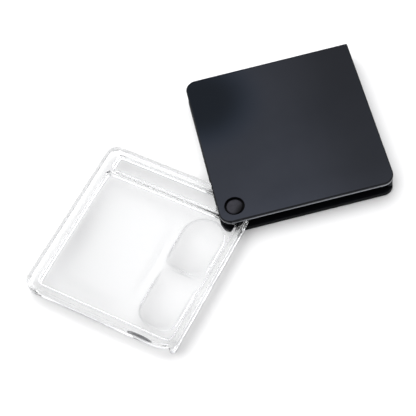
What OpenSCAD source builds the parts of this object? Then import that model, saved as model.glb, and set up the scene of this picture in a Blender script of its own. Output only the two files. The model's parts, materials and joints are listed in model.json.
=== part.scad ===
// Folding pocket magnifier: a clear lens slab that swings out of a flat case on a corner pivot.
// The origin is the centre of the case's underside, +X runs towards the spine and +Z is up.

/* [Case] */
// Width of the case along X
case_w = 60; // [54:1:72]
// Depth of the case along Y
case_d = 60; // [54:1:72]
// Thickness of each cover
cover_t = 1.8; // [1.7:0.1:2.4]
// Clear height between the covers
slot_h = 4.4; // [4.2:0.1:5.4]
// Radius of the three rounded corners
corner_r = 4; // [3:0.5:5]
// Radius of the nearly sharp corner at the spine's far end
sharp_r = 0.5; // [0.3:0.1:1]
// Width of the step along the outer edge of each cover
edge_step_w = 0.35; // [0.2:0.05:0.5]
// Height of the step along the outer edge of each cover
edge_step_h = 0.3; // [0.2:0.05:0.5]
// Thickness of the spine that joins the covers
spine_t = 2.2; // [2:0.1:3]
// Distance from the case's near edge to the near end of the spine
spine_setback = 2; // [1:0.5:3]
// Diameter of the dowels in the spine
dowel_d = 1; // [0.8:0.1:1.2]
// Number of dowels in the spine
dowel_count = 3; // [2:1:5]

/* [Pivot] */
// Distance from the pivot to each of the two case edges beside it
pivot_inset = 5.75; // [5.5:0.25:7]
// Diameter of the sunk seat round each pivot cap
seat_d = 6.9; // [6.4:0.1:7]
// Depth of the sunk seat
seat_depth = 1.1; // [1:0.05:1.2]
// Outer diameter of the pivot barrel
barrel_d = 4; // [3.6:0.1:4.2]
// Diameter of the stud pressed into the barrel
stud_d = 2.4; // [2:0.1:2.6]
// Diameter of the heads on the barrel and the stud
head_d = 5; // [4.8:0.1:5]
// Thickness of the heads on the barrel and the stud
head_t = 0.35; // [0.3:0.05:0.4]
// Diameter of the domed pivot caps
cap_d = 5.5; // [5.4:0.1:5.8]
// Rise of the dome on a pivot cap
cap_rise = 0.4; // [0.3:0.05:0.45]
// Radial clearance of the lens slab on the barrel
running_gap = 0.05; // [0.03:0.01:0.1]
// Diameter of the washers beside the lens slab
washer_d = 7; // [6.6:0.1:7.2]
// Thickness of the washer under the lens slab
lower_washer_t = 0.45; // [0.4:0.05:0.45]
// Thickness of the washer on the lens slab
upper_washer_t = 0.2; // [0.15:0.01:0.2]
// Thickness of the cone spring washer
spring_t = 0.12; // [0.1:0.01:0.15]

/* [Lens slab] */
// Angle by which the slab is swung out of the case, 0 when it is folded away
open_angle = 139.5; // [0:0.5:255]
// Thickness of the slab's rim
slab_t = 4; // [3.8:0.1:4]
// Thickness of the clear sheet inside the rim
sheet_t = 1.4; // [1:0.1:1.8]
// Depth of the recess in each face of the slab round the pivot
hub_recess = 0.3; // [0.25:0.05:0.3]
// Distance that the slab stands out past the case's far edge when folded away
far_overhang = 0.55; // [0.3:0.05:0.8]
// Gap between the folded slab and the spine
spine_gap = 0.4; // [0.3:0.1:1]
// Thickness of the rim wall beside the spine
end_wall = 4; // [3:0.1:5]
// Thickness of the rim wall at the slab's free end
far_wall = 3.2; // [2.6:0.1:4]
// Thickness of the rim wall beside the two small lenses
side_wall = 2.6; // [2.2:0.1:3.5]
// Thickness of the rim wall outside the marking strip
strip_wall = 2.6; // [2.4:0.1:3.5]
// Width of the marking strip
strip_w = 5.7; // [5.4:0.1:6.5]
// Thickness of the rib between the marking strip and the lens window
rib_t = 1.6; // [1.4:0.1:2.5]
// Corner radius of the marking strip
strip_r = 1; // [0.5:0.1:2]
// Corner radius of the lens window
window_r = 1.6; // [0.8:0.1:3]

/* [Lenses] */
// Width of the two small lenses measured from the rim wall
small_lens_w = 15.9; // [12:0.1:18]
// Gap left flat between neighbouring lenses
lens_gap = 0.5; // [0.3:0.1:1]
// Flat margin between the lenses and the window's long walls
lens_margin = 1.8; // [1.2:0.1:3]
// Corner radius of the large lens
big_lens_r = 8.5; // [6:0.5:12]
// Radius of the round near end of the first small lens
near_lens_r = 8; // [6:0.5:8]
// Corner radius of the second small lens at its far end
far_lens_r = 6; // [4:0.5:7]
// Corner radius of the small lenses where they meet
meeting_r = 2.5; // [1:0.5:4]
// Height of the large lens above the sheet
big_rise = 0.75; // [0.7:0.05:1.1]
// Height of the small lenses above the sheet
small_rise = 1; // [0.6:0.05:1.1]
// Height of a lens above the sheet at its furthest corner
lens_edge = 0.05; // [0.05:0.05:0.2]

/* [Nail catch] */
// Width of the nail tab at the slab's free corner
tab_w = 2.1; // [1.6:0.1:3]
// Distance that the nail tab stays short of the slab's free end
tab_setback = 0.7; // [0.5:0.1:1.5]
// Radius of the sweep that leads into the nail tab
sweep_r = 19; // [17:0.5:22]
// Length of the sweep that leads into the nail tab
sweep_w = 10; // [9:0.5:11]
// Length of the scoop in the slab's free end
scoop_w = 9; // [6:0.5:12]
// Distance from the slab's side to the middle of the scoop
scoop_from_side = 12; // [11:0.5:16]
// Greatest depth of the scoop in the slab's free end
scoop_depth = 0.5; // [0.3:0.05:0.8]
// Height of the scoop in the slab's free end
scoop_h = 1; // [0.6:0.1:1.4]

/* [Hidden] */
$fn = 96;
crown_fn = 1000;
scoop_fn = 200;
over = 1;                                  // overrun of cutting solids
case_h = 2 * cover_t + slot_h;
slot_floor = cover_t;
slot_roof = cover_t + slot_h;
pivot_x = pivot_inset - case_w / 2;
pivot_y = pivot_inset - case_d / 2;
spine_x = case_w / 2 - spine_t;
dowel_grip = 1;                            // how far a dowel enters each cover
dowel_end_gap = 0.1;

side_gap = 0.35;                           // folded slab to the case's open left edge
near_gap = 0.05;                           // folded slab to the case's near edge
slab_x0 = side_gap - pivot_inset;
slab_x1 = case_w - pivot_inset - spine_t - spine_gap;
slab_y0 = near_gap - pivot_inset;
slab_y1 = case_d - pivot_inset + far_overhang;
slab_z0 = slot_floor + (slot_h - slab_t) / 2;
slab_z1 = slab_z0 + slab_t;
slab_corner_r = 3.8;
hub_corner_r = 5;
sheet_z0 = slab_z0 + (slab_t - sheet_t) / 2;
sheet_z1 = sheet_z0 + sheet_t;
hub_z1 = slab_z1 - hub_recess;
hub_d = washer_d + 0.6;

strip_x0 = hub_d / 2 + 2;
strip_x1 = slab_x1 - end_wall - 0.6;
strip_y0 = slab_y0 + strip_wall;
strip_y1 = strip_y0 + strip_w;
window_x0 = slab_x0 + side_wall;
window_x1 = slab_x1 - end_wall;
window_y0 = strip_y1 + rib_t;
window_y1 = slab_y1 - far_wall;

lens_y0 = window_y0 + lens_margin;
lens_y1 = window_y1 - lens_margin;
lens_mid_y = (lens_y0 + lens_y1) / 2;
lens_tuck = 1;                             // how far a lens runs into the rim wall beside it
small_x0 = window_x0 - lens_tuck;
small_x1 = window_x0 + small_lens_w;

seat_z0 = seat_depth;
seat_z1 = case_h - seat_depth;
cap_seat_gap = 0.05;
cap_skirt_h = 0.5;
bore_d = barrel_d + 2 * running_gap;

// ---- shared shapes ----

// What a corner loses when it is rounded; the corner is at the origin, the solid lies in +X +Y
module corner_waste(r) {
    difference() {
        translate([-over, -over]) square(r + over);
        translate([r, r]) circle(r);
    }
}

// Rectangle from p0 to p1 with its own radius at each corner, counter-clockwise from p0
module rounded_rect(p0, p1, radii) {
    size = p1 - p0;
    corners = [[0, 0], [size[0], 0], size, [0, size[1]]];
    translate(p0) difference() {
        square(size);
        for (i = [0:3])
            if (radii[i] > 0) translate(corners[i]) rotate(90 * i) corner_waste(radii[i]);
    }
}

// Outline of the case seen from above, shrunk by inset
module case_outline(inset = 0) {
    half = [case_w / 2 - inset, case_d / 2 - inset];
    round_r = corner_r - inset;
    rounded_rect(-half, half, [round_r, round_r, max(sharp_r - inset, 0.15), round_r]);
}

module at_pivot() translate([pivot_x, pivot_y, 0]) children();

module ring(d_out, d_in, z0, z1) {
    translate([0, 0, z0]) difference() {
        cylinder(d = d_out, h = z1 - z0);
        translate([0, 0, -over]) cylinder(d = d_in, h = z1 - z0 + 2 * over);
    }
}

module dowel_places() {
    first = -case_d / 2 + spine_setback + 4;
    last = case_d / 2 - 4;
    for (i = [0:dowel_count - 1])
        translate([spine_x + spine_t / 2, first + (last - first) * i / (dowel_count - 1), 0])
            children();
}

// ---- case ----

// Cover as it lies on the table: stepped lower edge, sunk seat, pivot hole and dowel sockets
module cover() {
    difference() {
        union() {
            linear_extrude(edge_step_h) case_outline(edge_step_w);
            translate([0, 0, edge_step_h]) linear_extrude(cover_t - edge_step_h) case_outline();
        }
        at_pivot() translate([0, 0, -over]) cylinder(d = seat_d, h = seat_depth + over);
        at_pivot() cylinder(d = barrel_d, h = cover_t + over);
        dowel_places() translate([0, 0, cover_t - dowel_grip]) cylinder(d = dowel_d, h = dowel_grip + over);
    }
}

module bottom_cover() {
    color("#24262b") cover();
}

module top_cover() {
    color("#363a42") translate([0, 0, case_h]) mirror([0, 0, 1]) cover();
}

// Spacer bar between the covers; its near end follows the case's rounded corner
module spine() {
    color("#2d3036") difference() {
        translate([0, 0, slot_floor]) linear_extrude(slot_h) intersection() {
            case_outline();
            translate([spine_x, -case_d / 2 + spine_setback]) square([spine_t + over, case_d]);
        }
        dowel_places() translate([0, 0, slot_floor - over]) cylinder(d = dowel_d, h = slot_h + 2 * over);
    }
}

module spine_dowels() {
    reach = dowel_grip - dowel_end_gap;
    color("silver") dowel_places()
        translate([0, 0, slot_floor - reach]) cylinder(d = dowel_d, h = slot_h + 2 * reach);
}

// ---- pivot ----

// Headed tube that the slab turns on; its head sits in the lower seat
module pivot_barrel() {
    color("silver") at_pivot() difference() {
        union() {
            translate([0, 0, seat_z0 - head_t]) cylinder(d = head_d, h = head_t);
            translate([0, 0, seat_z0]) cylinder(d = barrel_d, h = seat_z1 - seat_z0);
        }
        translate([0, 0, seat_z0 + head_t]) cylinder(d = stud_d, h = case_h);
    }
}

// Headed stud pressed into the barrel from above
module pivot_stud() {
    shank_bottom = seat_z0 + 2 * head_t;
    color("silver") at_pivot() {
        translate([0, 0, shank_bottom]) cylinder(d = stud_d, h = seat_z1 - shank_bottom);
        translate([0, 0, seat_z1]) cylinder(d = head_d, h = head_t);
    }
}

// Domed cap that snaps over a head; it stands on z = 0 with its dome up
module cap() {
    dome_r = (pow(cap_d / 2, 2) + pow(cap_rise, 2)) / (2 * cap_rise);
    difference() {
        union() {
            cylinder(d = cap_d, h = cap_skirt_h);
            translate([0, 0, cap_skirt_h]) intersection() {
                translate([0, 0, cap_rise - dome_r]) sphere(dome_r);
                cylinder(d = cap_d, h = cap_rise);
            }
        }
        translate([0, 0, -over]) cylinder(d = head_d, h = head_t - cap_seat_gap + over);
    }
}

module top_cap() {
    color("#2b2a2d") at_pivot() translate([0, 0, seat_z1 + cap_seat_gap]) cap();
}

module bottom_cap() {
    color("#2b2a2d") at_pivot() translate([0, 0, seat_z0 - cap_seat_gap]) mirror([0, 0, 1]) cap();
}

// Plain washer that the slab's hub runs on
module lower_washer() {
    color("ivory") at_pivot() ring(washer_d, barrel_d, slot_floor, slot_floor + lower_washer_t);
}

// Thin washer that lies on the slab's hub and turns with it
module upper_washer() {
    color("ivory") at_pivot() ring(washer_d, bore_d, hub_z1, hub_z1 + upper_washer_t);
}

// Cone spring that presses the slab down and gives the swing its friction
module spring_washer() {
    z_low = hub_z1 + upper_washer_t + 0.04;
    z_high = slot_roof - spring_t;
    r_in = barrel_d / 2;
    r_out = washer_d / 2 - 0.3;
    color("gold") at_pivot() rotate_extrude() polygon([
        [r_in, z_high],
        [r_out, z_low],
        [r_out, z_low + spring_t],
        [r_in, z_high + spring_t]
    ]);
}

// ---- lens slab, drawn folded away with the pivot at the origin ----

// Outline with a sweep and a small round tab at the free corner, for the fingernail
module slab_outline() {
    tab_r = tab_w / 2;
    tab_mid_y = slab_y1 - tab_setback - tab_r;
    difference() {
        rounded_rect([slab_x0, slab_y0], [slab_x1, slab_y1],
            [hub_corner_r, slab_corner_r, slab_corner_r, 0]);
        difference() {
            translate([slab_x0 - over, slab_y1 - sweep_w]) square([sweep_w + over, sweep_w + over]);
            translate([slab_x0 + sweep_w, slab_y1 - sweep_r]) circle(sweep_r);
        }
    }
    translate([slab_x0, tab_mid_y - tab_w]) square(tab_w);
    translate([slab_x0 + tab_r, tab_mid_y]) circle(tab_r);
}

// Recess cut into both faces of the slab, down to the clear sheet
module both_recesses(p0, p1, r) {
    for (z = [slab_z0 - over, sheet_z1])
        translate([0, 0, z]) linear_extrude(slab_z1 - sheet_z1 + over)
            rounded_rect(p0, p1, [r, r, r, r]);
}

// Solid of revolution with the crowns of a lens, round its mid plane at z = 0
module crowns(crown_r, rise, reach) {
    rotate_extrude() intersection() {
        translate([0, sheet_t / 2 + rise - crown_r]) circle(crown_r, $fn = crown_fn);
        translate([0, crown_r - rise - sheet_t / 2]) circle(crown_r, $fn = crown_fn);
        translate([0, -slab_t]) square([reach + over, 2 * slab_t]);
    }
}

// Lens over a rectangle with rounded corners, crowned on both faces of the sheet
module lens(p0, p1, radii, rise) {
    mid = (p0 + p1) / 2;
    reach = max([for (r = radii) norm((p1 - p0) / 2 - [r, r]) + r]);
    drop = rise - lens_edge;
    intersection() {
        translate([0, 0, slab_z0]) linear_extrude(slab_t) rounded_rect(p0, p1, radii);
        translate([mid[0], mid[1], (slab_z0 + slab_z1) / 2])
            crowns((pow(reach, 2) + pow(drop, 2)) / (2 * drop), rise, reach);
    }
}

module folded_slab() {
    scoop_r = (pow(scoop_w / 2, 2) + pow(scoop_depth, 2)) / (2 * scoop_depth);
    scoop_mid = slab_x0 + scoop_from_side;
    big_radii = [big_lens_r, big_lens_r, big_lens_r, big_lens_r];
    first_radii = [near_lens_r, near_lens_r, meeting_r, meeting_r];
    second_radii = [meeting_r, meeting_r, far_lens_r, far_lens_r];
    difference() {
        union() {
            difference() {
                translate([0, 0, slab_z0]) linear_extrude(slab_t) slab_outline();
                both_recesses([strip_x0, strip_y0], [strip_x1, strip_y1], strip_r);
                both_recesses([window_x0, window_y0], [window_x1, window_y1], window_r);
            }
            lens([small_x1 + lens_gap, lens_y0], [window_x1 + lens_tuck, lens_y1], big_radii, big_rise);
            lens([small_x0, lens_y0], [small_x1, lens_mid_y - lens_gap / 2], first_radii, small_rise);
            lens([small_x0, lens_mid_y + lens_gap / 2], [small_x1, lens_y1], second_radii, small_rise);
        }
        translate([0, 0, slab_z0 - over]) cylinder(d = bore_d, h = slab_t + 2 * over);
        translate([0, 0, slab_z0 - over]) cylinder(d = hub_d, h = hub_recess + over);
        translate([0, 0, hub_z1]) cylinder(d = hub_d, h = hub_recess + over);
        translate([scoop_mid, slab_y1 - scoop_depth + scoop_r, slab_z1 - scoop_h])
            cylinder(r = scoop_r, h = scoop_h + over, $fn = scoop_fn);
    }
}

module lens_slab() {
    color("#dfe6ea", 0.5) at_pivot() rotate(open_angle) folded_slab();
}

top_cover();
bottom_cover();
spine();
spine_dowels();
pivot_barrel();
pivot_stud();
top_cap();
bottom_cap();
lower_washer();
upper_washer();
spring_washer();
lens_slab();
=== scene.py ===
"""Looks of the folding pocket magnifier: case, pivot, clear lens slab, camera and soft studio light."""

import json
import math

import bmesh
import bpy
from mathutils import Matrix, Vector
from mathutils.geometry import delaunay_2d_cdt


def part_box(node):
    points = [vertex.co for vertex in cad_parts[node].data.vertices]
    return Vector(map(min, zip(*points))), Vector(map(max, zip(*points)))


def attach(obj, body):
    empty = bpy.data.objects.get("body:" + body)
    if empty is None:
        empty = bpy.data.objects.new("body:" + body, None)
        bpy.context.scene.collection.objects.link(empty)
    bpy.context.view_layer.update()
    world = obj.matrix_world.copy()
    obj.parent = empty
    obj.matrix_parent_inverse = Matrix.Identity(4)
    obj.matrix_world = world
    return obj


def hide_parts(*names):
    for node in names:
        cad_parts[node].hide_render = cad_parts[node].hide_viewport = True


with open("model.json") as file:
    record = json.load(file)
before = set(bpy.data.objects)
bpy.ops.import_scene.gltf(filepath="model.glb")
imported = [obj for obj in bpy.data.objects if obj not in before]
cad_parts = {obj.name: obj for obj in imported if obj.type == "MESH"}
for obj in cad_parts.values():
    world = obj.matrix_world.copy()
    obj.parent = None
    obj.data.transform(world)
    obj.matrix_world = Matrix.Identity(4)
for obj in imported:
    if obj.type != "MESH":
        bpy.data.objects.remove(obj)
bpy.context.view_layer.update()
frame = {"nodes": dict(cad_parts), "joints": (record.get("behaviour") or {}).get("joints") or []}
MM = 0.001

# ---- sizes taken from the CAD frame, in millimetres ----

CASE_LO, CASE_HI = (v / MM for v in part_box("top_cover"))
SPINE_LO, SPINE_HI = (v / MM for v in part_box("spine"))
CAP_LO, CAP_HI = (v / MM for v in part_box("top_cap"))
HINGE = frame["joints"][0]
PIVOT = Vector(HINGE["pos_m"]) / MM
OPEN = math.radians(-HINGE["range_deg"][0])
CASE_H = CASE_HI.z
MID_Z = CASE_H / 2

turn_back = Matrix.Rotation(-OPEN, 3, "Z")
folded = [
    turn_back @ (v.co / MM - PIVOT) for v in frame["nodes"]["lens_slab"].data.vertices
]
X0, X1 = min(p.x for p in folded), max(p.x for p in folded)
Y0, Y1 = min(p.y for p in folded), max(p.y for p in folded)
Z0, Z1 = min(p.z for p in folded) + MID_Z, max(p.z for p in folded) + MID_Z

# ---- mesh helpers ----


def new_object(name, bm, smooth_deg=40):
    """Turns a bmesh in millimetres into an object in metres, smooth up to smooth_deg between faces."""
    bmesh.ops.recalc_face_normals(bm, faces=bm.faces)
    for e in bm.edges:
        if len(e.link_faces) == 2:
            e.smooth = e.calc_face_angle(0) < math.radians(smooth_deg)
    for f in bm.faces:
        f.smooth = True
    mesh = bpy.data.meshes.new(name)
    bm.to_mesh(mesh)
    bm.free()
    mesh.transform(Matrix.Scale(MM, 4))
    obj = bpy.data.objects.new(name, mesh)
    bpy.context.scene.collection.objects.link(obj)
    weighted = obj.modifiers.new("weighted_normals", "WEIGHTED_NORMAL")
    weighted.keep_sharp = True
    weighted.weight = 100
    return obj


def arc(cx, cy, r, a0, a1, steps):
    """Points on an arc, angles in degrees, both ends included."""
    return [
        (
            cx + r * math.cos(math.radians(a0 + (a1 - a0) * i / steps)),
            cy + r * math.sin(math.radians(a0 + (a1 - a0) * i / steps)),
        )
        for i in range(steps + 1)
    ]


def rounded(x0, y0, x1, y1, radii, steps=10):
    """Closed rounded rectangle, counter-clockwise from (x0, y0), with its own radius at each corner."""
    ra, rb, rc, rd = radii
    return (
        arc(x0 + ra, y0 + ra, ra, 180, 270, steps)
        + arc(x1 - rb, y0 + rb, rb, 270, 360, steps)
        + arc(x1 - rc, y1 - rc, rc, 0, 90, steps)
        + arc(x0 + rd, y1 - rd, rd, 90, 180, steps)
    )


def dense(loop, step):
    """The same closed loop with extra points, so that no two neighbours are more than about step apart."""
    out = []
    for i, b in enumerate(loop):
        a = loop[i - 1]
        n = max(1, round(math.dist(a, b) / step))
        out += [(a[0] + (b[0] - a[0]) * k / n, a[1] + (b[1] - a[1]) * k / n) for k in range(n)]
    return out


def circle(cx, cy, r, steps=64):
    """Closed circle without the doubled last point."""
    return arc(cx, cy, r, 0, 360, steps)[:-1]


def inset(loop, d):
    """Moves each point of a closed counter-clockwise loop inwards by d along its mitred normal."""
    out = []
    n = len(loop)
    for i, p in enumerate(loop):
        a, b = Vector(loop[i - 1]), Vector(loop[(i + 1) % n])
        p = Vector(p)
        u, v = (p - a).normalized(), (b - p).normalized()
        nu, nv = Vector((-u.y, u.x)), Vector((-v.y, v.x))
        m = (nu + nv).normalized()
        out.append(tuple(p + m * (d / max(m.dot(nu), 0.5))))
    return out


def add_ring(bm, loop, z):
    """One vertex at height z for each point of the loop."""
    return [bm.verts.new((x, y, z)) for x, y in loop]


def bridge(bm, a, b):
    """Band of faces between two rings with the same number of vertices."""
    n = len(a)
    for i in range(n):
        j = (i + 1) % n
        bm.faces.new((a[i], a[j], b[j], b[i]))


def close_tip(bm, ring, tip):
    """Fan of faces from a ring to one vertex."""
    for i, v in enumerate(ring):
        bm.faces.new((v, ring[(i + 1) % len(ring)], tip))


def stack(bm, outline, profile):
    """Walls through the insets and heights of profile; returns the first and last ring."""
    return stack_loops(bm, [(inset(outline, d) if d else outline, z) for d, z in profile])


def stack_loops(bm, loops):
    """Walls through loops given with their heights; returns the first and last ring."""
    rings = [add_ring(bm, loop, z) for loop, z in loops]
    for a, b in zip(rings, rings[1:]):
        bridge(bm, a, b)
    return rings[0], rings[-1]


def inside(p, loop):
    """True if the point lies within the closed loop."""
    hit = False
    for i, (x1, y1) in enumerate(loop):
        x0, y0 = loop[i - 1]
        if (y0 > p[1]) != (y1 > p[1]) and p[0] < (x1 - x0) * (p[1] - y0) / (y1 - y0) + x0:
            hit = not hit
    return hit


def fill(bm, *rings):
    """Flat face between an outer ring and any holes in it."""
    verts = [v for ring in rings for v in ring]
    loops = [[(v.co.x, v.co.y) for v in ring] for ring in rings]
    edges, start = [], 0
    for ring in rings:
        n = len(ring)
        edges += [(start + i, start + (i + 1) % n) for i in range(n)]
        start += n
    points = [Vector(p) for loop in loops for p in loop]
    _, _, faces, origin, _, _ = delaunay_2d_cdt(points, edges, [], 1, 1e-6)
    for f in faces:
        corner = [verts[origin[i][0]] for i in f]
        mid = (sum(v.co.x for v in corner) / 3, sum(v.co.y for v in corner) / 3)
        if inside(mid, loops[0]) and not any(inside(mid, hole) for hole in loops[1:]):
            bm.faces.new(corner)


# ---- materials ----


def material(name):
    """New node material, its node tree and its shader."""
    m = bpy.data.materials.new(name)
    m.use_nodes = True
    nt = m.node_tree
    return m, nt, nt.nodes["Principled BSDF"]


def node(nt, kind, **values):
    """New node; a value goes to the input of that name, or else to the node's own property."""
    n = nt.nodes.new(kind)
    for k, v in values.items():
        if k in n.inputs:
            n.inputs[k].default_value = v
        else:
            setattr(n, k, v)
    return n


def coords(nt, scale=(1, 1, 1)):
    """Object coordinates in metres, scaled."""
    tc = nt.nodes.new("ShaderNodeTexCoord")
    mp = nt.nodes.new("ShaderNodeMapping")
    mp.inputs["Scale"].default_value = scale
    nt.links.new(tc.outputs["Object"], mp.inputs["Vector"])
    return mp.outputs["Vector"]


def noise(nt, vec, scale, detail=4.0, rough=0.6):
    n = node(nt, "ShaderNodeTexNoise", Scale=scale, Detail=detail, Roughness=rough)
    nt.links.new(vec, n.inputs["Vector"])
    return n.outputs["Fac"]


def ramp(nt, fac, stops):
    """Colour ramp through (position, colour) stops."""
    r = nt.nodes.new("ShaderNodeValToRGB")
    while len(r.color_ramp.elements) < len(stops):
        r.color_ramp.elements.new(0.5)
    for e, (pos, col) in zip(r.color_ramp.elements, stops):
        e.position = pos
        e.color = (*col, 1)
    nt.links.new(fac, r.inputs["Fac"])
    return r.outputs["Color"]


def bump(nt, height, strength, distance, shader):
    b = node(nt, "ShaderNodeBump", Strength=strength, Distance=distance)
    nt.links.new(height, b.inputs["Height"])
    nt.links.new(b.outputs["Normal"], shader.inputs["Normal"])


def span(nt, fac, lo, hi):
    """Stretches a value from 0..1 to lo..hi."""
    m = node(nt, "ShaderNodeMapRange")
    m.inputs["To Min"].default_value = lo
    m.inputs["To Max"].default_value = hi
    nt.links.new(fac, m.inputs["Value"])
    return m.outputs["Result"]


def math_node(nt, operation, a, b):
    """Math node whose inputs are sockets or plain numbers."""
    m = node(nt, "ShaderNodeMath", operation=operation)
    for socket, value in zip(m.inputs, (a, b)):
        if isinstance(value, (int, float)):
            socket.default_value = value
        elif value is not None:
            nt.links.new(value, socket)
    return m.outputs["Value"]


def map_range(nt, value, from_min, from_max, to_min, to_max):
    """Eases a value from one range into another."""
    m = node(nt, "ShaderNodeMapRange", interpolation_type="SMOOTHSTEP")
    limits = {"From Min": from_min, "From Max": from_max, "To Min": to_min, "To Max": to_max}
    for key, limit in limits.items():
        m.inputs[key].default_value = limit
    nt.links.new(value, m.inputs["Value"])
    return m.outputs["Result"]


def mix_colour(nt, fac, a, b):
    """Mix of two colours, each a socket or a plain colour."""
    m = node(nt, "ShaderNodeMix", data_type="RGBA")
    nt.links.new(fac, m.inputs[0])
    for socket, value in ((m.inputs[6], a), (m.inputs[7], b)):
        if isinstance(value, tuple):
            socket.default_value = value
        else:
            nt.links.new(value, socket)
    return m.outputs[2]


def scale_colour(nt, colour, amount):
    """A colour multiplied by a single value."""
    m = node(nt, "ShaderNodeVectorMath", operation="SCALE")
    nt.links.new(colour, m.inputs[0])
    nt.links.new(amount, m.inputs["Scale"])
    return m.outputs["Vector"]


def plastic(name, dark, light, rough_lo, rough_hi, gloss=0.5, painted_sheen=None):
    """Moulded plastic: fine spark-eroded grain, faint blotches and slightly rubbed, smoother spots.
    The last argument, if given, paints reflection and shade into the colour: it returns a factor
    on the colour, and how far (0..1) a point is from the bluish corner."""
    m, nt, s = material(name)
    vec = coords(nt)
    colour = ramp(nt, noise(nt, vec, 40, 3), [(0.35, dark), (0.65, light)])
    s.inputs["Specular IOR Level"].default_value = gloss
    if painted_sheen:
        # Painted reflection and shade: the colour is scaled by a tone and turns bluish-dark towards one
        # corner.
        amount, away = painted_sheen(nt, vec)
        colour = scale_colour(nt, mix_colour(nt, away, PAINTED_REFLECTION_BLUE, colour), amount)
    nt.links.new(colour, s.inputs["Base Color"])
    nt.links.new(span(nt, noise(nt, vec, 160, 5), rough_lo, rough_hi), s.inputs["Roughness"])
    bump(nt, noise(nt, vec, 5200, 3, 0.7), 0.25, 0.00003, s)
    return m


# Painted reflection and shade on the upper plate: from and to in millimetres, then the factor at each end.
TONE_ACROSS = (-30, 30, 1.46, 1.07)
TONE_NEAR_EDGE = (-31, -20, 1.2, 1.0)
TONE_RIGHT = (-8, 26, 1.03, 0.56)
# The painted dark, bluish reflection in the far left corner: its centre, how far it fades out, its factor and
# its colour.
DULL_CORNER = (-26, 20)
DULL_FADE = (3, 26)
DULL_TONE = 0.26
PAINTED_REFLECTION_BLUE = (0.008, 0.016, 0.03, 1)


def painted_plate_light(nt, vec):
    """Painted reflection and shade on the upper plate: palest along its near edge, darker at the right side
    and at the far left corner, which is also painted bluish. Returns the factor on the colour, and 0..1 with
    distance from that corner."""
    sep = nt.nodes.new("ShaderNodeSeparateXYZ")
    nt.links.new(vec, sep.inputs["Vector"])

    def tone(axis, start, end, first, last):
        return map_range(nt, sep.outputs[axis], start * MM, end * MM, first, last)

    to_corner = node(nt, "ShaderNodeVectorMath", operation="DISTANCE")
    to_corner.inputs[1].default_value = Vector((*DULL_CORNER, CASE_H)) * MM
    nt.links.new(vec, to_corner.inputs[0])
    start, end = DULL_FADE
    away = map_range(nt, to_corner.outputs["Value"], start * MM, end * MM, 0.0, 1.0)
    amount = math_node(nt, "MULTIPLY", tone("Y", *TONE_ACROSS), tone("Y", *TONE_NEAR_EDGE))
    amount = math_node(nt, "MULTIPLY", amount, tone("X", *TONE_RIGHT))
    return math_node(nt, "MULTIPLY", amount, map_range(nt, away, 0.0, 1.0, DULL_TONE, 1.0)), away


# The upper plate's colour carries painted reflection and shade: paler near edge, darker right side and far
# left corner.
CASE_MAT = plastic(
    "case_plastic", (0.0155, 0.0175, 0.0235), (0.0185, 0.0205, 0.027), 0.42, 0.5, gloss=0.06, painted_sheen=painted_plate_light
)
# Pale copy of the case plastic: a painted highlight on the lower wall of the upper cover at the slot.
LIP_MAT = plastic("case_lip_painted_highlight", (0.2, 0.215, 0.245), (0.26, 0.275, 0.31), 0.35, 0.45, gloss=0.4)
# Darker copy of the case plastic: painted shade on the upper cover's outer wall and edge step.
EDGE_MAT = plastic("case_edge_painted_shade", (0.004, 0.0048, 0.007), (0.006, 0.007, 0.01), 0.3, 0.4, gloss=0.13)
# Near-black copy of the case plastic: painted shade in the pivot seat.
SEAT_MAT = plastic(
    "pivot_seat_painted_shade", (0.0015, 0.0016, 0.002), (0.0025, 0.0026, 0.003), 0.5, 0.6, gloss=0.04
)
# Darker copy of the case plastic: painted shade on the whole lower cover.
BASE_MAT = plastic(
    "case_base_painted_shade", (0.003, 0.0033, 0.0045), (0.0045, 0.005, 0.0065), 0.42, 0.5, gloss=0.07
)
SPINE_MAT = plastic("spine_plastic", (0.010, 0.012, 0.016), (0.012, 0.014, 0.018), 0.45, 0.55, gloss=0.2)
CAP_DARK, CAP_PALE = (0.021, 0.021, 0.0265), (0.037, 0.0365, 0.045)
# Painted shade on the caps: how their colour darkens towards one side.
CAP_FADE = (0.6, 3.4, 1.0, 0.15)


def cap_material():
    """Black cap turned smooth: fine rings round the pivot's axis, dusty blotches, and painted shade that
    darkens it towards one side over CAP_FADE (from and to in millimetres, then the factors)."""
    m, nt, s = material("cap_plastic")
    tc = nt.nodes.new("ShaderNodeTexCoord")
    mp = nt.nodes.new("ShaderNodeMapping")
    mp.inputs["Location"].default_value = (-PIVOT.x * MM, -PIVOT.y * MM, 0)
    nt.links.new(tc.outputs["Object"], mp.inputs["Vector"])
    flat = node(nt, "ShaderNodeVectorMath", operation="MULTIPLY")
    flat.inputs[1].default_value = (1, 1, 0)
    nt.links.new(mp.outputs["Vector"], flat.inputs[0])
    rings = node(nt, "ShaderNodeTexWave", wave_type="RINGS", rings_direction="SPHERICAL", Scale=1500.0)
    rings.inputs["Distortion"].default_value = 0.6
    nt.links.new(flat.outputs["Vector"], rings.inputs["Vector"])
    blot = noise(nt, mp.outputs["Vector"], 500, 4)
    sep = nt.nodes.new("ShaderNodeSeparateXYZ")
    nt.links.new(mp.outputs["Vector"], sep.inputs["Vector"])
    # Painted shade: the colour fades darker along X minus Y, across the cap.
    across = math_node(nt, "SUBTRACT", sep.outputs["X"], sep.outputs["Y"])
    start, end, first, last = CAP_FADE
    painted_side_shade = map_range(nt, across, start * MM, end * MM, first, last)
    tone = scale_colour(nt, ramp(nt, blot, [(0.3, CAP_DARK), (0.75, CAP_PALE)]), painted_side_shade)
    nt.links.new(tone, s.inputs["Base Color"])
    s.inputs["Specular IOR Level"].default_value = 0.07
    nt.links.new(span(nt, blot, 0.36, 0.5), s.inputs["Roughness"])
    bump(nt, rings.outputs["Fac"], 0.15, 0.00002, s)
    return m


CAP_MAT = cap_material()


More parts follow.
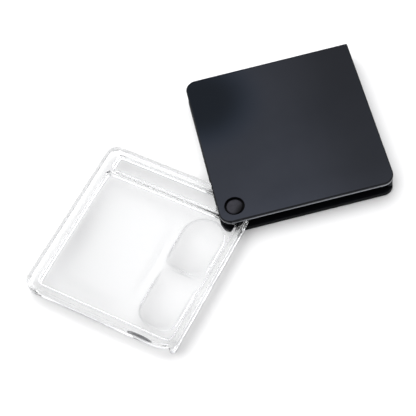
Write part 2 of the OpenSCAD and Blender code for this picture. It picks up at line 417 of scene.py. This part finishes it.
def metal(name, colour, low, high, scale):
    """Turned or rolled metal with a fine drawn grain, rougher and paler in streaks."""
    m, nt, s = material(name)
    s.inputs["Metallic"].default_value = 1.0
    vec = coords(nt, (1, 1, 12))
    grain = noise(nt, vec, scale, 4)
    pale = tuple(min(c * 1.12, 1) for c in colour)
    nt.links.new(ramp(nt, grain, [(0.3, colour), (0.7, pale)]), s.inputs["Base Color"])
    nt.links.new(span(nt, grain, low, high), s.inputs["Roughness"])
    bump(nt, grain, 0.2, 0.00001, s)
    return m


STEEL_MAT = metal("turned_steel", (0.56, 0.56, 0.57), 0.22, 0.36, 900)
BRONZE_MAT = metal("spring_bronze", (0.60, 0.40, 0.20), 0.25, 0.4, 700)
WASHER_MAT = plastic("washer_acetal", (0.62, 0.60, 0.53), (0.70, 0.68, 0.61), 0.3, 0.4)


def mix_shader(nt, fac, a, b):
    """Mix of two shader nodes; the first may itself be a mix."""
    m = nt.nodes.new("ShaderNodeMixShader")
    nt.links.new(fac, m.inputs["Fac"])
    nt.links.new(a.outputs["BSDF"] if "BSDF" in a.outputs else a.outputs["Shader"], m.inputs[1])
    nt.links.new(b.outputs["BSDF"], m.inputs[2])
    return m


def acrylic(name, wall_tint, rim_tint, colour=(0.98, 0.985, 0.99, 1)):
    """Clear polished acrylic. Shadow and diffuse rays pass straight through, dimmed: by wall_tint at
    upright walls, by rim_tint on the rims, and on the sheet by which way its surface leans. A ray
    that has bounced deep inside also passes straight through."""
    m, nt, s = material(name)
    s.inputs["Base Color"].default_value = colour
    s.inputs["Transmission Weight"].default_value = 1.0
    s.inputs["IOR"].default_value = 1.49
    vec = coords(nt)
    nt.links.new(span(nt, noise(nt, vec, 260, 4), 0.0, 0.02), s.inputs["Roughness"])
    bump(nt, noise(nt, vec, 220, 2), 0.06, 0.00004, s)

    geo = nt.nodes.new("ShaderNodeNewGeometry")
    sep = nt.nodes.new("ShaderNodeSeparateXYZ")
    nt.links.new(geo.outputs["Normal"], sep.inputs["Vector"])
    level = math_node(nt, "ABSOLUTE", sep.outputs["Z"], None)
    place = nt.nodes.new("ShaderNodeSeparateXYZ")
    nt.links.new(vec, place.inputs["Vector"])
    height = math_node(nt, "ABSOLUTE", math_node(nt, "SUBTRACT", place.outputs["Z"], MID_Z * MM), None)
    on_rim = math_node(nt, "GREATER_THAN", height, RIM_FROM * MM)
    weight = node(nt, "ShaderNodeLayerWeight", Blend=0.5)
    side = math_node(nt, "SUBTRACT", 1.0, math_node(nt, "MULTIPLY", geo.outputs["Backfacing"], 2.0))
    lean = math_node(nt, "MULTIPLY", math_node(nt, "MULTIPLY", sep.outputs["X"], side), LENS_SHADE)
    sheet = ramp(nt, math_node(nt, "ADD", lean, 0.5), SHEET_TINT)
    rim = ramp(nt, weight.outputs["Facing"], rim_tint)
    upright = node(nt, "ShaderNodeMapRange")
    upright.inputs["From Min"].default_value, upright.inputs["From Max"].default_value = UPRIGHT
    nt.links.new(level, upright.inputs["Value"])
    tint = mix_colour(nt, upright.outputs["Result"], wall_tint, mix_colour(nt, on_rim, sheet, rim))
    dimmed = nt.nodes.new("ShaderNodeBsdfTransparent")
    nt.links.new(tint, dimmed.inputs["Color"])
    clear = nt.nodes.new("ShaderNodeBsdfTransparent")
    clear.inputs["Color"].default_value = DEEP_TINT

    path = nt.nodes.new("ShaderNodeLightPath")
    deep = math_node(nt, "GREATER_THAN", path.outputs["Ray Depth"], DEEP_FROM)
    straight = math_node(nt, "MAXIMUM", path.outputs["Is Shadow Ray"], path.outputs["Is Diffuse Ray"])
    out = mix_shader(nt, straight, mix_shader(nt, deep, s, clear), dimmed)
    nt.links.new(out.outputs["Shader"], nt.nodes["Material Output"].inputs["Surface"])
    return m


def greys(*stops):
    return [(at, (v, v, v)) for at, v in stops]


# How strongly a lean of the sheet counts, the height above mid-slab (mm) that is rim, the upward part
# of the normal between upright and level, and the tint and bounce count of a deep ray.
LENS_SHADE, RIM_FROM, UPRIGHT = 2.2, 1.8, (0.75, 0.95)
DEEP_TINT, DEEP_FROM = (0.92, 0.93, 0.94, 1), 5.5
SHEET_TINT = greys((0.1, 0.5), (0.3, 0.745), (0.5, 0.81), (0.7, 0.83), (0.9, 0.95))
INNER_RIM = greys((0.1, 0.97), (0.3, 0.9), (0.6, 0.65))
OUTER_RIM = greys((0.1, 0.42), (0.3, 0.36), (0.6, 0.3))
INNER_WALL, OUTER_WALL = (0.5, 0.5, 0.505, 1), (0.08, 0.08, 0.082, 1)
# Dark grey tint for the scoop: painted shade of its shadowed wall.
SCOOP_GREY = (0.05, 0.05, 0.055, 1)
ACRYLIC_MAT = acrylic("clear_acrylic", INNER_WALL, INNER_RIM)
ACRYLIC_EDGE_MAT = acrylic("clear_acrylic_edge", OUTER_WALL, OUTER_RIM)
SCOOP_MAT = acrylic("scoop_painted_shade_acrylic", OUTER_WALL, OUTER_RIM, SCOOP_GREY)

# ---- case ----

SEAT_R, SEAT_DEPTH, HOLE_R = 3.45, 1.1, 2.0
ROUND_R, SHARP_R = 4.0, 0.5
WALL_DRAFT, FOOT_CHAMFER = 0.12, 0.12
STEP_FOOT, LIP_H = 0.32, 0.9
SPINE_BACK = 0.12
# Inset and depth below the face, up the little step round the cover's top edge.
EDGE_STEP = [(0.01, 0.27), (0.04, 0.235), (0.1, 0.22), (0.17, 0.21), (0.2, 0.17)]
EDGE_STEP += [(0.22, 0.1), (0.25, 0.04), (0.3, 0.01), (0.38, 0)]


def cover(name, nodes, upper):
    """Cover plate with a stepped outer edge and a sunk pivot seat. On the upper cover the wall at the slot
    has a painted highlight, and the rest of the outer wall, the edge step and the seat have painted shade;
    the lower cover's colour is painted shade as a whole.
    """
    inner = SPINE_HI.z if upper else SPINE_LO.z
    outer = CASE_H if upper else 0.0
    up = 1 if upper else -1
    t = abs(outer - inner)

    def z(h):
        return inner + up * h

    def outline(d):
        radii = [max(r - d, 0.03) for r in (ROUND_R, ROUND_R, SHARP_R, ROUND_R)]
        return rounded(CASE_LO.x + d, CASE_LO.y + d, CASE_HI.x - d, CASE_HI.y - d, radii, 14)

    foot = t - STEP_FOOT
    profile = [(WALL_DRAFT + FOOT_CHAMFER, 0.0), (WALL_DRAFT + 0.03, 0.03)]
    profile += [(WALL_DRAFT * (1 - h / foot) ** 2, h) for h in (0.1 + (foot - 0.1) * i / 8 for i in range(9))]
    profile += [(d, t - h) for d, h in EDGE_STEP]
    bm = bmesh.new()
    low, high = stack_loops(bm, [(outline(d), z(h)) for d, h in profile])
    if upper:
        # Painted highlight on the wall within LIP_H of the slot; painted shade on the rest of the outer wall
        # and the edge step.
        for f in bm.faces:
            f.material_index = 1 if abs(f.calc_center_median().z - inner) < LIP_H else 2
    seat_outline = circle(PIVOT.x, PIVOT.y, SEAT_R)
    floor = t - SEAT_DEPTH
    seat = [(-0.1, t), (-0.03, t - 0.03), (0.0, t - 0.1), (0.03, floor + 0.08), (0.1, floor)]
    seat_top, seat_low = stack(bm, seat_outline, [(d, z(h)) for d, h in seat])
    hole_top, hole_low = stack(bm, circle(PIVOT.x, PIVOT.y, HOLE_R), [(0, z(floor)), (0, z(0))])
    # Painted shade in the pivot seat: its walls here, its floor below.
    for f in bm.faces:
        if upper and math.dist(f.calc_center_median().xy, PIVOT.xy) < SEAT_R:
            f.material_index = 3
    fill(bm, high, seat_top)
    before = set(bm.faces)
    fill(bm, seat_low, hole_top)
    if upper:
        for f in set(bm.faces) - before:
            f.material_index = 3
    fill(bm, low, hole_low)
    obj = new_object(name, bm)
    for mat in (CASE_MAT, LIP_MAT, EDGE_MAT, SEAT_MAT) if upper else (BASE_MAT,):
        obj.data.materials.append(mat)
    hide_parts(nodes)
    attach(obj, "case")
    return obj


cover("case_cover_upper", "top_cover", True)
cover("case_cover_lower", "bottom_cover", False)


def spine():
    """Spacer bar between the covers, set in a hair from their edges, with softened edges."""
    x_in, y_near = SPINE_LO.x, SPINE_LO.y
    x_out, y_far = CASE_HI.x - SPINE_BACK, CASE_HI.y - SPINE_BACK
    cx, cy, r = CASE_HI.x - ROUND_R, CASE_LO.y + ROUND_R, ROUND_R - SPINE_BACK
    start = math.degrees(math.asin((y_near - cy) / r))
    outline = [(x_in, y_near)] + arc(cx, cy, r, start, 0, 8)
    outline += arc(x_out - SHARP_R, y_far - SHARP_R, SHARP_R, 0, 90, 6) + [(x_in, y_far)]
    z_lo, z_hi = SPINE_LO.z, SPINE_HI.z
    profile = [(0.08, z_lo), (0.02, z_lo + 0.03), (0, z_lo + 0.1)]
    profile += [(0, z_hi - 0.1), (0.02, z_hi - 0.03), (0.08, z_hi)]
    bm = bmesh.new()
    low, high = stack(bm, outline, profile)
    fill(bm, low)
    fill(bm, high)
    obj = new_object("case_spine", bm)
    obj.data.materials.append(SPINE_MAT)
    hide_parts("spine")
    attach(obj, "case")


spine()


CAP_DOME, CAP_SHOULDER, CAP_HOLLOW_R, CAP_SIDES = 0.4, 0.12, 2.5, 72


def cap(name, nodes, upper):
    """Domed rivet cap: softened skirt, a narrow shoulder and a low dome, hollow underneath."""
    up = 1 if upper else -1
    base = CAP_LO.z if upper else CASE_H - CAP_LO.z
    top = CAP_HI.z - CAP_LO.z
    r = (CAP_HI.x - CAP_LO.x) / 2
    skirt = top - CAP_DOME
    dome_r = (r * r + CAP_DOME**2) / (2 * CAP_DOME)
    profile = [(CAP_HOLLOW_R, 0.3), (CAP_HOLLOW_R, 0.04), (CAP_HOLLOW_R + 0.04, 0.0), (r - 0.05, 0.0)]
    profile += [(r, 0.05), (r, skirt - 0.12), (r - 0.05, skirt - 0.03)]
    for i in range(1, 13):
        d = (r - CAP_SHOULDER) * (1 - i / 13)
        profile.append((d, top - (dome_r - math.sqrt(dome_r * dome_r - d * d))))
    bm = bmesh.new()
    rings = [add_ring(bm, circle(PIVOT.x, PIVOT.y, d, CAP_SIDES), base + up * h) for d, h in profile]
    for a, b in zip(rings, rings[1:]):
        bridge(bm, a, b)
    tip = bm.verts.new((PIVOT.x, PIVOT.y, base + up * top))
    close_tip(bm, rings[-1], tip)
    fill(bm, rings[0])
    obj = new_object(name, bm)
    obj.data.materials.append(CAP_MAT)
    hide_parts(nodes)
    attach(obj, "case")


cap("pivot_cap_upper", "top_cap", True)
cap("pivot_cap_lower", "bottom_cap", False)

for name, mat in (
    ("spine_dowels", STEEL_MAT),
    ("pivot_barrel", STEEL_MAT),
    ("pivot_stud", STEEL_MAT),
    ("lower_washer", WASHER_MAT),
    ("upper_washer", WASHER_MAT),
    ("spring_washer", BRONZE_MAT),
):
    data = frame["nodes"][name].data
    data.materials.clear()
    data.materials.append(mat)

# ---- clear slab, built folded away with the pivot at the origin ----

SHEET_T, MIN_CROWN = 1.4, 0.05
SHEET_HI = (Z0 + Z1 + SHEET_T) / 2
SHEET_LO = (Z0 + Z1 - SHEET_T) / 2
EDGE, RIM_STEP = 0.25, 0.14
PIVOT_CORNER_R, CORNER_R = 5.0, 3.8
BORDER_IN, BORDER_TOP = 1.15, 1.5
TAB_W, TAB_BACK = 2.1, 0.7
SWEEP_R, SWEEP_W = 19.0, 10.0
SCOOP_MID, SCOOP_W, SCOOP_D, SCOOP_H = X0 + 12.0, 9.0, 0.5, 1.0
HUB_R, HUB_DEPTH, BORE_R = 3.8, 0.3, 2.05
WINDOW = (X0 + 2.6, Y0 + 9.9, X1 - 4.0, Y1 - 3.2)
STRIP = (5.8, Y0 + 2.6, X1 - 4.6, Y0 + 8.3)


def slab_outline(scooped):
    """Outer outline, with the nail tab at the free corner and, near the top, the scoop beside it."""
    pts = arc(X0 + PIVOT_CORNER_R, Y0 + PIVOT_CORNER_R, PIVOT_CORNER_R, 180, 270, 14)
    pts += arc(X1 - CORNER_R, Y0 + CORNER_R, CORNER_R, 270, 360, 12)
    pts += arc(X1 - CORNER_R, Y1 - CORNER_R, CORNER_R, 0, 90, 12)
    sx, sy = X0 + SWEEP_W, Y1 - SWEEP_R
    start = SCOOP_MID + SCOOP_W / 2 + 1.0
    pts += [(start + (sx - start) * i / 14, Y1) for i in range(14)]
    tr = TAB_W / 2
    tx, ty = X0 + tr, Y1 - TAB_BACK - tr
    a = 90.0
    while True:
        p = (sx + SWEEP_R * math.cos(math.radians(a)), sy + SWEEP_R * math.sin(math.radians(a)))
        if math.hypot(p[0] - tx, p[1] - ty) < tr or p[0] < tx + 0.2:
            break
        pts.append(p)
        a += 1.5
    meet = math.degrees(math.atan2(max(p[1] - ty, 0.02), p[0] - tx))
    pts += arc(tx, ty, tr, meet, 180, 12)
    if scooped:
        r = ((SCOOP_W / 2) ** 2 + SCOOP_D**2) / (2 * SCOOP_D)
        cut = []
        for x, y in pts:
            if y > Y1 - 2 and abs(x - SCOOP_MID) < SCOOP_W / 2 and x > X0 + TAB_W + 0.3:
                y = min(y, Y1 - SCOOP_D + r - math.sqrt(r * r - (x - SCOOP_MID) ** 2))
            cut.append((x, y))
        pts = cut
    return pts


def recess(bm, outline, top, floor, up):
    """Recess wall from the rim face down to floor, rounded at both ends and slightly drafted."""
    prof = [(-0.18, top), (-0.09, top - up * 0.03), (-0.02, top - up * 0.1), (0.0, top - up * 0.2)]
    prof += [(0.05, floor + up * 0.3), (0.08, floor + up * 0.16), (0.18, floor + up * 0.05), (0.32, floor)]
    return stack(bm, outline, prof)


def lens(bm, zone, sheet, up):
    """Lens zone: rings that rise softly from the sheet at the zone's edge into a spherical crown."""
    outline, centre, crown_r, rise, soft = zone
    low = min(math.dist(p, centre) for p in outline)

    def height(x, y, depth):
        sag = crown_r - math.sqrt(crown_r**2 - (x - centre[0]) ** 2 - (y - centre[1]) ** 2)
        t = min(depth / soft, 1)
        return sheet + up * max(rise - sag, MIN_CROWN) * t * t * (3 - 2 * t)

    ring = foot = add_ring(bm, outline, sheet)
    depths = [soft * i / 8 for i in range(1, 9)]
    for d in depths:
        nxt = [bm.verts.new((x, y, height(x, y, d))) for x, y in inset(outline, d)]
        bridge(bm, ring, nxt)
        ring = nxt
    base = [(v.co.x, v.co.y) for v in ring]
    steps = max(6, round((low - soft) / 0.9))
    for i in range(1, steps):
        k = 1 - i / steps
        nxt = []
        for x, y in base:
            px, py = centre[0] + (x - centre[0]) * k, centre[1] + (y - centre[1]) * k
            nxt.append(bm.verts.new((px, py, height(px, py, soft))))
        bridge(bm, ring, nxt)
        ring = nxt
    close_tip(bm, ring, bm.verts.new((*centre, sheet + up * rise)))
    return foot


def slab():
    """The clear slab: rounded rim with a fine step, recessed sheet, strip, hub and three lens zones."""
    bm = bmesh.new()
    plain, scooped = slab_outline(False), slab_outline(True)
    quarter = [(EDGE * math.sin(a), EDGE * math.cos(a)) for a in (math.pi / 2 * i / 5 for i in range(6))]
    loops = [(inset(plain, EDGE - sine), Z0 + EDGE - cosine) for sine, cosine in quarter]
    loops += [(plain, Z1 - SCOOP_H - 0.15), (scooped, Z1 - SCOOP_H)]
    loops += [(inset(scooped, EDGE - cosine), Z1 - EDGE + sine) for sine, cosine in quarter]
    low, high = stack_loops(bm, loops)
    # Outer faces take the edge acrylic; the scoop's faces take the painted shade.
    for f in bm.faces:
        mid = f.calc_center_median()
        in_scoop = mid.y > Y1 - 1 and abs(mid.x - SCOOP_MID) < SCOOP_W / 2 and mid.z > Z1 - SCOOP_H - 0.1
        f.material_index = 2 if in_scoop else 1

    bore_low, bore_high = stack(bm, circle(0, 0, BORE_R, 48), [(0, Z0 + HUB_DEPTH), (0, Z1 - HUB_DEPTH)])
    gap = 0.45
    wx0, wy0, wx1, wy1 = WINDOW
    ly0, ly1 = wy0 + 1.9, wy1 - 1.7
    zones = []
    # Each zone: its corners, corner radii, soft edge, crown height, and reach as a share of its diagonal.
    for x0, y0, x1, y1, radii, soft, rise, spread in (
        (13.6, ly0, wx1 - gap, ly1, (8.5, 8, 8, 8.5), 5.0, 0.75, 0.8),
        (wx0 + gap, ly0, 13.1, 27.9, (7.4, 8, 1.6, 1.2), 1.1, 1.0, 0.88),
        (wx0 + gap, 28.1, 12.5, ly1, (1.2, 1.6, 6, 5.4), 1.1, 1.0, 0.88),
    ):
        mid = ((x0 + x1) / 2, (y0 + y1) / 2)
        reach = math.hypot((x1 - x0) / 2, (y1 - y0) / 2) * spread
        drop = rise - MIN_CROWN
        outline = dense(rounded(x0, y0, x1, y1, radii, 12), 1.0)
        zones.append((outline, mid, (reach**2 + drop**2) / (2 * drop), rise, soft))
    b = BORDER_IN
    border = rounded(X0 + b, Y0 + b, X1 - b, Y1 - BORDER_TOP, (3.8, 2.6, 2.6, 3.5), 12)
    for rim, outer, up, sheet, hub, bore in (
        (Z1, high, 1, SHEET_HI, Z1 - HUB_DEPTH, bore_high),
        (Z0, low, -1, SHEET_LO, Z0 + HUB_DEPTH, bore_low),
    ):
        face = rim - up * RIM_STEP
        win_rim, win_floor = recess(bm, rounded(*WINDOW, (1.6,) * 4), face, sheet, up)
        strip_rim, strip_floor = recess(bm, rounded(*STRIP, (1.0,) * 4), face, sheet, up)
        hub_prof = [(-0.08, face), (0, face - up * 0.06), (0, hub + up * 0.04), (0.05, hub)]
        hub_rim, hub_floor = stack(bm, circle(0, 0, HUB_R, 72), hub_prof)
        seam_prof = [(0, rim), (0.03, rim - up * 0.02), (0.07, face + up * 0.02), (0.1, face)]
        seam, seam_low = stack(bm, border, seam_prof)
        before = set(bm.faces)
        fill(bm, outer, seam)
        for f in set(bm.faces) - before:
            f.material_index = 1
        fill(bm, seam_low, win_rim, strip_rim, hub_rim)
        fill(bm, hub_floor, bore)
        fill(bm, strip_floor)
        feet = [lens(bm, zone, sheet, up) for zone in zones]
        fill(bm, win_floor, *feet)
    obj = new_object("lens_slab_clear", bm, 50)
    keep_height = Matrix.Translation((0, 0, -PIVOT.z * MM))
    obj.data.transform(Matrix.Translation(PIVOT * MM) @ Matrix.Rotation(OPEN, 4, "Z") @ keep_height)
    for mat in (ACRYLIC_MAT, ACRYLIC_EDGE_MAT, SCOOP_MAT):
        obj.data.materials.append(mat)
    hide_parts("lens_slab")
    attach(obj, "lens")


slab()

# ---- floor ----

FLOOR_HALF = 1500
FLOOR_PALE = [(0.3, (0.93, 0.93, 0.93)), (0.7, (0.95, 0.95, 0.95))]
bm = bmesh.new()
bmesh.ops.create_grid(bm, x_segments=8, y_segments=8, size=FLOOR_HALF)
floor = new_object("studio_floor", bm)
floor_mat, nt, s = material("pale_floor")
vec = coords(nt)
nt.links.new(ramp(nt, noise(nt, vec, 30, 3), FLOOR_PALE), s.inputs["Base Color"])
s.inputs["Roughness"].default_value = 0.7
s.inputs["Specular IOR Level"].default_value = 0.2
floor.data.materials.append(floor_mat)

# ---- light ----

# A tent of light, brightest towards SKY_TOP; what shines through clear plastic is never below SURROUND.
SKY_TOP, SKY_STRENGTH = (-0.29, 0.31, 0.9), 2.4
SKY = [
    (0.0, (0.02, 0.02, 0.02)),
    (0.3, (0.06, 0.06, 0.062)),
    (0.55, (0.35, 0.35, 0.36)),
    (0.8, (0.9, 0.9, 0.9)),
    (1.0, (1, 1, 1)),
]
SURROUND, BACKDROP = (0.3, 0.3, 0.305, 1), (0.93, 0.94, 0.95, 1)
world = bpy.data.worlds.new("studio")
world.use_nodes = True
bpy.context.scene.world = world
nt = world.node_tree
background = nt.nodes["Background"]
tc = nt.nodes.new("ShaderNodeTexCoord")
towards = node(nt, "ShaderNodeVectorMath", operation="DOT_PRODUCT")
towards.inputs[1].default_value = Vector(SKY_TOP).normalized()
nt.links.new(tc.outputs["Generated"], towards.inputs[0])
tent = ramp(nt, towards.outputs["Value"], SKY)
path = nt.nodes.new("ShaderNodeLightPath")
surround = node(nt, "ShaderNodeMix", data_type="RGBA", blend_type="LIGHTEN")
surround.inputs[7].default_value = SURROUND
nt.links.new(path.outputs["Is Transmission Ray"], surround.inputs[0])
nt.links.new(tent, surround.inputs[6])
nt.links.new(surround.outputs[2], background.inputs["Color"])
background.inputs["Strength"].default_value = SKY_STRENGTH
plain = nt.nodes.new("ShaderNodeBackground")
plain.inputs["Color"].default_value = BACKDROP
mix = nt.nodes.new("ShaderNodeMixShader")
nt.links.new(path.outputs["Is Camera Ray"], mix.inputs["Fac"])
nt.links.new(background.outputs["Background"], mix.inputs[1])
nt.links.new(plain.outputs["Background"], mix.inputs[2])
nt.links.new(mix.outputs["Shader"], nt.nodes["World Output"].inputs["Surface"])


def area_light(name, place, aim, size, power):
    data = bpy.data.lights.new(name, "AREA")
    data.shape = "RECTANGLE"
    data.size, data.size_y = size
    data.energy = power
    obj = bpy.data.objects.new(name, data)
    obj.location = place
    obj.rotation_mode = "QUATERNION"
    obj.rotation_quaternion = (Vector(aim) - Vector(place)).to_track_quat("-Z", "Y")
    bpy.context.scene.collection.objects.link(obj)


area_light("key_softbox", (-0.25, 0.5, 0.95), (0, 0, 0), (0.6, 0.6), 0.6)

# ---- camera ----

EYE = Vector((-42.41, -238.16, 370.91)) * MM
AIM = Vector((-32.82, -17.85, 0.0)) * MM
ROLL = math.radians(-11.84)
FOCAL_MM, SENSOR_MM = 109.0, 36.0
forward = (AIM - EYE).normalized()
right = forward.cross(Vector((0, 0, 1))).normalized()
up = right.cross(forward)
right, up = right * math.cos(ROLL) + up * math.sin(ROLL), up * math.cos(ROLL) - right * math.sin(ROLL)
cam_data = bpy.data.cameras.new("camera")
cam_data.lens = FOCAL_MM
cam_data.sensor_width = SENSOR_MM
cam_data.clip_start = 0.02
cam_data.clip_end = 20.0
cam = bpy.data.objects.new("camera", cam_data)
cam.matrix_world = Matrix.Translation(EYE) @ Matrix((right, up, -forward)).transposed().to_4x4()
bpy.context.scene.collection.objects.link(cam)
bpy.context.scene.camera = cam
bpy.context.scene.view_settings.view_transform = "Standard"
